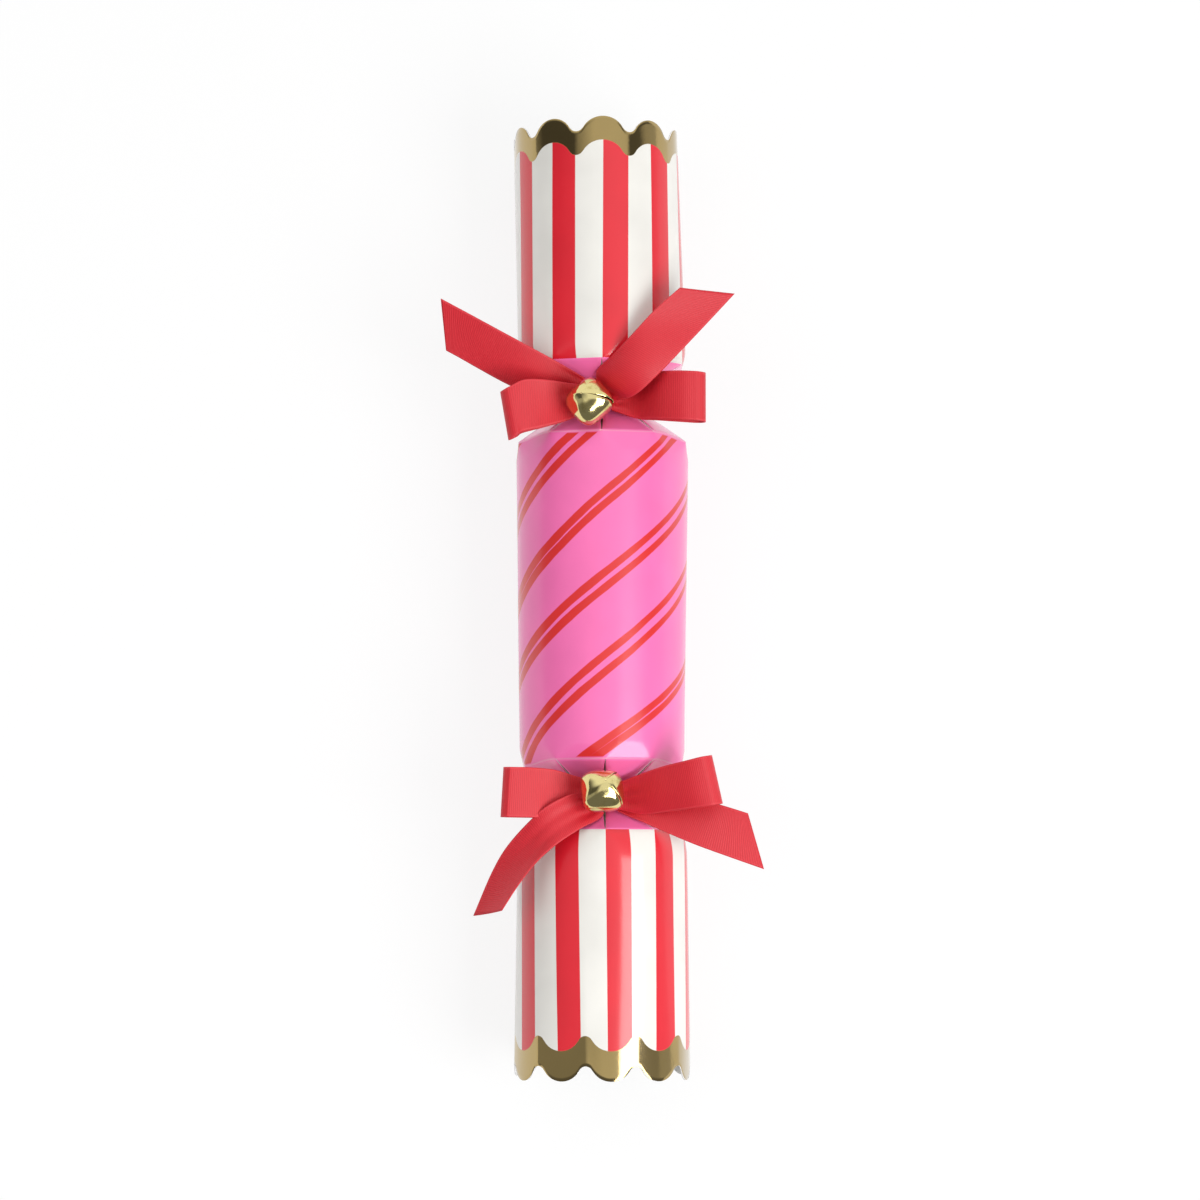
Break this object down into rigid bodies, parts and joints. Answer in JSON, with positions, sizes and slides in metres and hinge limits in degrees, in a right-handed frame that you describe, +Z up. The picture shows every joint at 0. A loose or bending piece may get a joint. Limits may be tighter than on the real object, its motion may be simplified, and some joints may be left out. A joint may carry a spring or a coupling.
{
  "type": "christmas cracker",
  "caption": "Party cracker of printed card: a round barrel and scalloped striped ends, choked and tied with ribbon bows and jingle bells, with a snap and favours inside.",
  "frame": {"origin": "middle of the glued lap strip along the underside of the barrel, on the table", "axes": "+Y along the cracker towards the far end, the upper one in the picture; +Z up from the table, towards the bows; +X to the right in the picture"},
  "size_m": [0.1002, 0.305, 0.0621],
  "materials": {
    "wrap_card": "glossy printed card",
    "frill_card": "glossy printed card, red and white stripes with a gold foil edge",
    "liner_card": "plain grey board",
    "ribbon": "woven grosgrain",
    "bell_metal": "bright plated sheet metal",
    "bell_wire": "bright plated wire",
    "clapper_steel": "plain steel ball",
    "snap_card": "plain thin card",
    "snap_patch": "dull coated patch",
    "sleeve_paper": "plain thin paper",
    "tissue": "crepe tissue",
    "slip_paper": "plain paper",
    "turned_wood": "turned beech, waxed",
    "spindle_wood": "turned beech, waxed"
  },
  "bodies": {
    "barrel": {"barrel_wrap": "wrap_card", "barrel_liner": "liner_card"},
    "far_end": {"far_frill": "frill_card", "far_ribbon": "ribbon", "far_snap_strip": "snap_card", "snap_charge": "snap_patch"},
    "near_end": {"near_frill": "frill_card", "near_ribbon": "ribbon", "near_snap_strip": "snap_card", "snap_grit": "snap_patch", "snap_sleeve": "sleeve_paper"},
    "far_bell": {"far_bell_shell": "bell_metal", "far_bell_loop": "bell_wire"},
    "near_bell": {"near_bell_shell": "bell_metal", "near_bell_loop": "bell_wire"},
    "far_clapper": {"far_bell_clapper": "clapper_steel"},
    "near_clapper": {"near_bell_clapper": "clapper_steel"},
    "hat": {"paper_hat": "tissue"},
    "motto": {"motto_slip": "slip_paper"},
    "top": {"spinning_top_disc": "turned_wood", "spinning_top_spindle": "spindle_wood"}
  },
  "joints": [
    {"name": "far_pull", "type": "slide", "parent": "barrel", "child": "far_end", "axis": [0, 1, 0], "range_m": [0, 0.09]},
    {"name": "far_bell_swing", "type": "hinge", "parent": "far_end", "child": "far_bell", "pos_m": [-0.0028, 0.0627, 0.04685], "axis": [0.9848, -0.0302, 0.171], "range_deg": [-10, 5]},
    {"name": "far_clapper_rattle", "type": "slide", "parent": "far_bell", "child": "far_clapper", "axis": [-0.1736, -0.171, 0.9698], "range_m": [0, 0.00745]},
    {"name": "near_pull", "type": "slide", "parent": "barrel", "child": "near_end", "axis": [0, -1, 0], "range_m": [0, 0.09]},
    {"name": "near_bell_swing", "type": "hinge", "parent": "near_end", "child": "near_bell", "pos_m": [0, -0.063, 0.04685], "axis": [0.9945, 0, 0.1045], "range_deg": [-10, 10]},
    {"name": "near_clapper_rattle", "type": "slide", "parent": "near_bell", "child": "near_clapper", "axis": [-0.1045, 0, 0.9945], "range_m": [0, 0.00745]},
    {"name": "hat_shift", "type": "slide", "parent": "barrel", "child": "hat", "axis": [0, 1, 0], "range_m": [-0.00265, 0.00265]},
    {"name": "motto_shift", "type": "slide", "parent": "barrel", "child": "motto", "axis": [0, 1, 0], "range_m": [-0.00265, 0.00265]},
    {"name": "top_shift", "type": "slide", "parent": "barrel", "child": "top", "axis": [0, 1, 0], "range_m": [-0.00265, 0.00265]}
  ]
}
